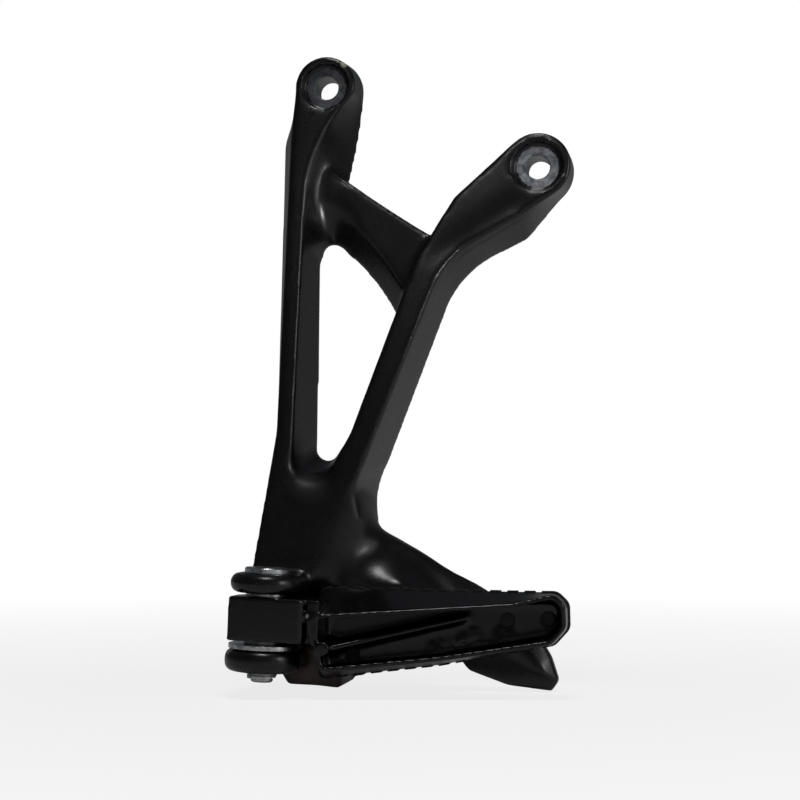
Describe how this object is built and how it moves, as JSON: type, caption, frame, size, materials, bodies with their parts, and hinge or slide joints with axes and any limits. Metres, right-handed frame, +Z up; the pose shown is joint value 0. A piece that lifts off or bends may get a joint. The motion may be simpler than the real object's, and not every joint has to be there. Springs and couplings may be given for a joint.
{
  "type": "motorcycle footrest hanger",
  "caption": "Cast footrest hanger with two counterbored fixing bosses, a triangular frame, a luggage hook and a folding passenger peg on a clevis pin.",
  "frame": {"origin": "centre of fixing bolt A's hole (the upper left boss) on the mounting face", "axes": "+X towards the tip of the folded peg, +Y into the machine that the hanger is bolted to, +Z up the height of the hanger as pictured"},
  "size_m": [0.1243, 0.0548, 0.2392],
  "materials": {
    "coated_casting": "satin black powder coat on cast aluminium",
    "gloss_casting": "gloss black paint on cast aluminium",
    "bright_steel": "bright turned steel",
    "zinc_steel": "dull zinc-plated steel",
    "tread": "matte black moulded rubber"
  },
  "bodies": {
    "hanger": {"hanger_casting": "coated_casting", "pivot_pin": "bright_steel", "pin_clip": "bright_steel", "clip_washer": "zinc_steel", "detent_plate": "bright_steel"},
    "peg": {"footpeg": "gloss_casting", "tread_rubber": "tread", "upper_shim": "bright_steel", "lower_washer": "zinc_steel", "detent_ball": "bright_steel", "detent_spring": "zinc_steel"}
  },
  "joints": [
    {"name": "peg_fold", "type": "hinge", "parent": "hanger", "child": "peg", "pos_m": [-0.0169, -0.041, -0.1986], "axis": [0.0471, 0, 0.9989], "range_deg": [-90, 0]}
  ]
}
